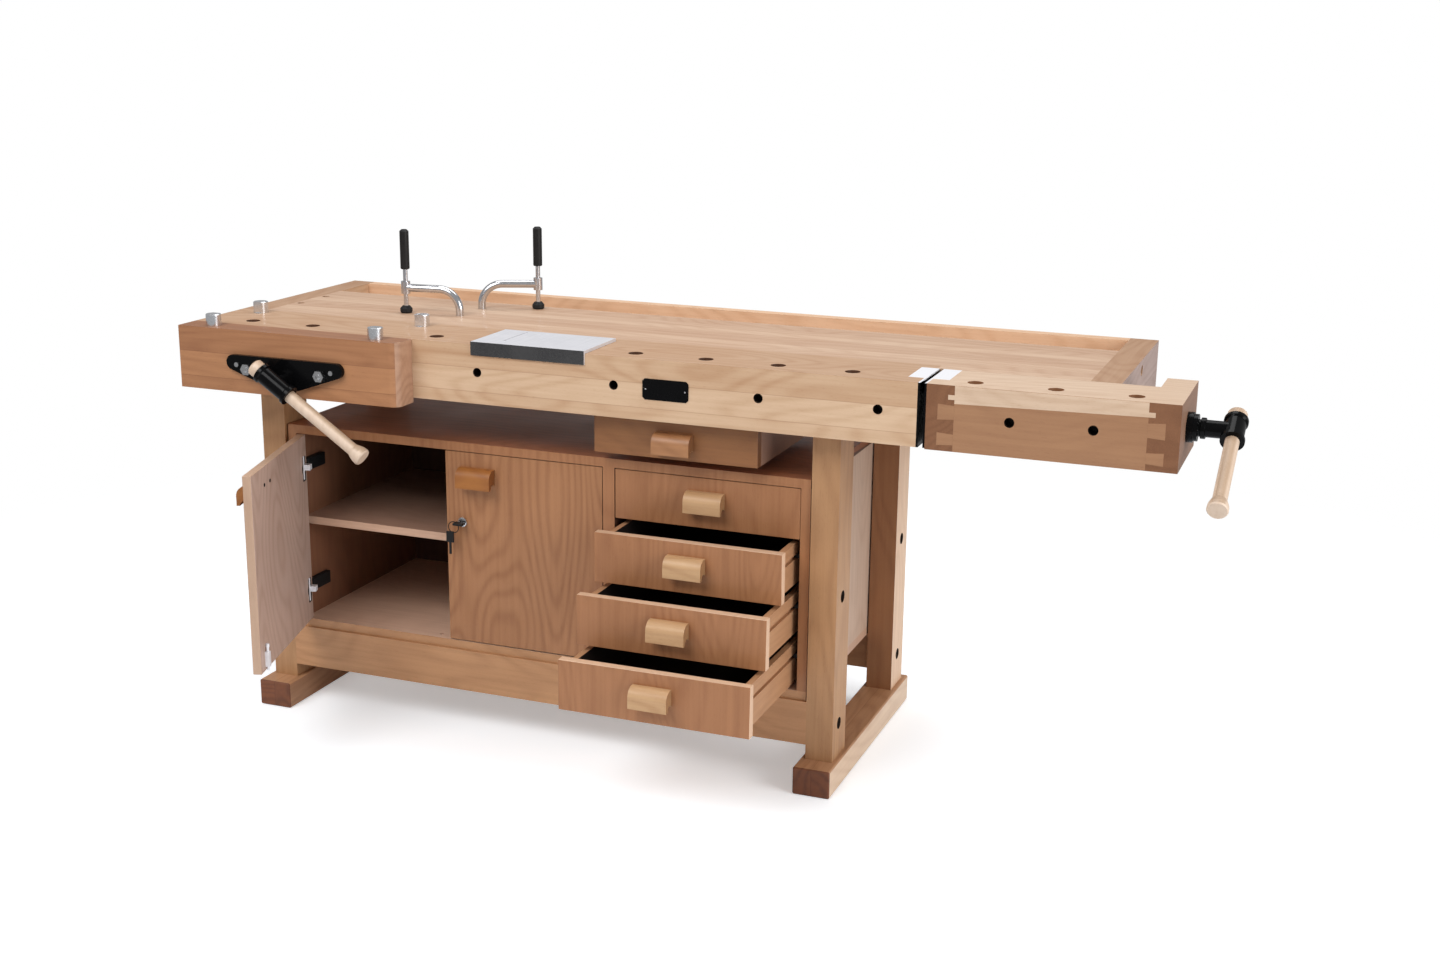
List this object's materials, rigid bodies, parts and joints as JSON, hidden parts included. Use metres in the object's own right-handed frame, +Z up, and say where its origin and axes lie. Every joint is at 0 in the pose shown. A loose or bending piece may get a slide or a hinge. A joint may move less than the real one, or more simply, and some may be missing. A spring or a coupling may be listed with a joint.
{
  "type": "woodworking bench with vises",
  "caption": "Beech woodworking bench with face vise, tail vise, bench dogs, hold-downs and a tool tray, over a cabinet with doors, a shelf and drawers.",
  "frame": {"origin": "on the floor, under the middle of the box around the whole bench in its rest pose", "axes": "+X runs along the bench to its tail vise end, +Y runs from the face vise to the back, +Z is up"},
  "size_m": [2.175, 0.9036, 1.054],
  "materials": {
    "beech_top": "oiled, satin",
    "beech_apron": "oiled, satin",
    "beech_frame": "oiled, satin",
    "beech_panel": "oiled, satin",
    "beech_door": "oiled, satin",
    "beech_jaw": "oiled, satin",
    "handle_wood": "oiled, satin",
    "bar_wood": "oiled, satin",
    "zinc_steel": "brushed",
    "bright_steel": "brushed",
    "black_casting": "gloss black",
    "dog_aluminium": "polished",
    "chrome_tube": "plated",
    "black_plastic": "matte"
  },
  "bodies": {
    "frame": {"bench_slab": "beech_top", "dog_strip": "beech_apron", "end_cap_left": "beech_apron", "end_cap_right": "beech_apron", "back_board": "beech_apron", "tray_floor": "beech_panel", "legs": "beech_frame", "feet": "beech_frame", "top_bearers": "beech_frame", "front_stretcher": "beech_frame", "rear_stretcher": "beech_frame", "frame_bolts": "zinc_steel", "cabinet_top": "beech_panel", "cabinet_bottom": "beech_panel", "cabinet_side_left": "beech_panel", "cabinet_side_right": "beech_panel", "cabinet_divider": "beech_panel", "cabinet_back": "beech_panel", "cupboard_shelf": "beech_panel", "hinge_arms": "zinc_steel", "drawer_runners": "beech_frame", "till_housing": "beech_panel", "vise_nuts": "black_casting", "bench_jaw_plate": "bright_steel"},
    "face_jaw": {"face_jaw": "beech_jaw", "face_casting": "black_casting"},
    "face_screw": {"face_screw": "black_casting"},
    "face_bar": {"face_bar": "bar_wood"},
    "tail_vise": {"tail_vise_body": "beech_apron", "tail_fittings": "black_casting", "tail_jaw_plate": "bright_steel"},
    "tail_screw": {"tail_screw": "black_casting"},
    "tail_bar": {"tail_bar": "bar_wood"},
    "left_door": {"left_door": "beech_door", "left_door_fittings": "handle_wood"},
    "door_bolt": {"door_bolt": "zinc_steel"},
    "right_door": {"right_door": "beech_door", "right_door_fittings": "handle_wood"},
    "door_key": {"door_key": "black_plastic"},
    "till": {"till_drawer": "beech_door", "till_handle": "handle_wood"},
    "steel_plate": {"steel_plate": "bright_steel"},
    "drawer_1": {"drawer_1": "beech_door", "drawer_1_handle": "handle_wood"},
    "drawer_2": {"drawer_2": "beech_door", "drawer_2_handle": "handle_wood"},
    "drawer_3": {"drawer_3": "beech_door", "drawer_3_handle": "handle_wood"},
    "drawer_4": {"drawer_4": "beech_door", "drawer_4_handle": "handle_wood"},
    "dog_jaw_left": {"dog_jaw_left": "dog_aluminium"},
    "dog_bench_left": {"dog_bench_left": "dog_aluminium"},
    "hold_left_arm": {"hold_left_arm": "chrome_tube"},
    "hold_left_pad": {"hold_left_pad": "black_plastic"},
    "hold_left_spindle": {"hold_left_spindle": "black_plastic"},
    "dog_jaw_right": {"dog_jaw_right": "dog_aluminium"},
    "dog_bench_right": {"dog_bench_right": "dog_aluminium"},
    "hold_right_arm": {"hold_right_arm": "chrome_tube"},
    "hold_right_pad": {"hold_right_pad": "black_plastic"},
    "hold_right_spindle": {"hold_right_spindle": "black_plastic"}
  },
  "joints": [
    {"name": "face_jaw_slide", "type": "slide", "parent": "frame", "child": "face_jaw", "axis": [0, -1, 0], "range_m": [0, 0.156]},
    {"name": "face_screw_turn", "type": "hinge", "parent": "face_jaw", "child": "face_screw", "pos_m": [-0.8235, -0.2812, 0.773], "axis": [0, -1, 0], "range_deg": [0, 9360]},
    {"name": "face_bar_slide", "type": "slide", "parent": "face_screw", "child": "face_bar", "axis": [-0.829, 0, 0.5592], "range_m": [0, 0.17]},
    {"name": "tail_vise_slide", "type": "slide", "parent": "frame", "child": "tail_vise", "axis": [1, 0, 0], "range_m": [-0.0085, 0.15]},
    {"name": "tail_screw_turn", "type": "hinge", "parent": "tail_vise", "child": "tail_screw", "pos_m": [1.0655, -0.0782, 0.81], "axis": [1, 0, 0], "range_deg": [-510, 9000]},
    {"name": "tail_bar_slide", "type": "slide", "parent": "tail_screw", "child": "tail_bar", "axis": [0, 0.9063, 0.4226], "range_m": [0, 0.165]},
    {"name": "left_door_swing", "type": "hinge", "parent": "frame", "child": "left_door", "pos_m": [-0.898, -0.1032, 0.411], "axis": [0, 0, 1], "range_deg": [-20, 73.4]},
    {"name": "door_bolt_drop", "type": "slide", "parent": "left_door", "child": "door_bolt", "axis": [0, 0, -1], "range_m": [0, 0.008]},
    {"name": "right_door_swing", "type": "hinge", "parent": "frame", "child": "right_door", "pos_m": [-0.1685, -0.1032, 0.411], "axis": [0, 0, 1], "range_deg": [0, 90]},
    {"name": "door_key_turn", "type": "hinge", "parent": "right_door", "child": "door_key", "pos_m": [-0.4935, -0.1122, 0.469], "axis": [0, -1, 0], "range_deg": [0, 90]},
    {"name": "drawer_1_slide", "type": "slide", "parent": "frame", "child": "drawer_1", "axis": [0, -1, 0], "range_m": [0, 0.3]},
    {"name": "drawer_2_slide", "type": "slide", "parent": "frame", "child": "drawer_2", "axis": [0, -1, 0], "range_m": [-0.1038, 0.2]},
    {"name": "drawer_3_slide", "type": "slide", "parent": "frame", "child": "drawer_3", "axis": [0, -1, 0], "range_m": [-0.1881, 0.11]},
    {"name": "drawer_4_slide", "type": "slide", "parent": "frame", "child": "drawer_4", "axis": [0, -1, 0], "range_m": [-0.2743, 0.03]},
    {"name": "till_slide", "type": "slide", "parent": "frame", "child": "till", "axis": [0, -1, 0], "range_m": [0, 0.25]},
    {"name": "dog_jaw_left_lift", "type": "slide", "parent": "face_jaw", "child": "dog_jaw_left", "axis": [0, 0, 1], "range_m": [0, 0.06]},
    {"name": "dog_bench_left_lift", "type": "slide", "parent": "frame", "child": "dog_bench_left", "axis": [0, 0, 1], "range_m": [0, 0.06]},
    {"name": "dog_jaw_right_lift", "type": "slide", "parent": "face_jaw", "child": "dog_jaw_right", "axis": [0, 0, 1], "range_m": [0, 0.06]},
    {"name": "dog_bench_right_lift", "type": "slide", "parent": "frame", "child": "dog_bench_right", "axis": [0, 0, 1], "range_m": [0, 0.06]},
    {"name": "hold_left_swivel", "type": "hinge", "parent": "frame", "child": "hold_left_arm", "pos_m": [-0.6075, 0.1108, 0.87], "axis": [0, 0, 1], "range_deg": [-40, 40]},
    {"name": "hold_left_pad_rise", "type": "slide", "parent": "hold_left_arm", "child": "hold_left_pad", "axis": [0, 0, 1], "range_m": [0, 0.024]},
    {"name": "hold_left_spindle_turn", "type": "hinge", "parent": "hold_left_pad", "child": "hold_left_spindle", "pos_m": [-0.73261, 0.09588, 0.94], "axis": [0, 0, 1], "range_deg": [0, 2880]},
    {"name": "hold_right_swivel", "type": "hinge", "parent": "frame", "child": "hold_right_arm", "pos_m": [-0.6075, 0.2128, 0.87], "axis": [0, 0, 1], "range_deg": [-40, 30]},
    {"name": "hold_right_pad_rise", "type": "slide", "parent": "hold_right_arm", "child": "hold_right_pad", "axis": [0, 0, 1], "range_m": [0, 0.024]},
    {"name": "hold_right_spindle_turn", "type": "hinge", "parent": "hold_right_pad", "child": "hold_right_spindle", "pos_m": [-0.49275, 0.26485, 0.94], "axis": [0, 0, 1], "range_deg": [0, 2880]},
    {"name": "steel_plate_lift", "type": "slide", "parent": "frame", "child": "steel_plate", "axis": [0, 0, 1], "range_m": [0, 0.05]}
  ],
  "couplings": [
    {"joint": "face_screw_turn", "follows": "face_jaw_slide", "rad_per_m": 1047.2},
    {"joint": "tail_screw_turn", "follows": "tail_vise_slide", "rad_per_m": 1047.2},
    {"joint": "hold_left_spindle_turn", "follows": "hold_left_pad_rise", "rad_per_m": 2094.4},
    {"joint": "hold_right_spindle_turn", "follows": "hold_right_pad_rise", "rad_per_m": 2094.4}
  ]
}
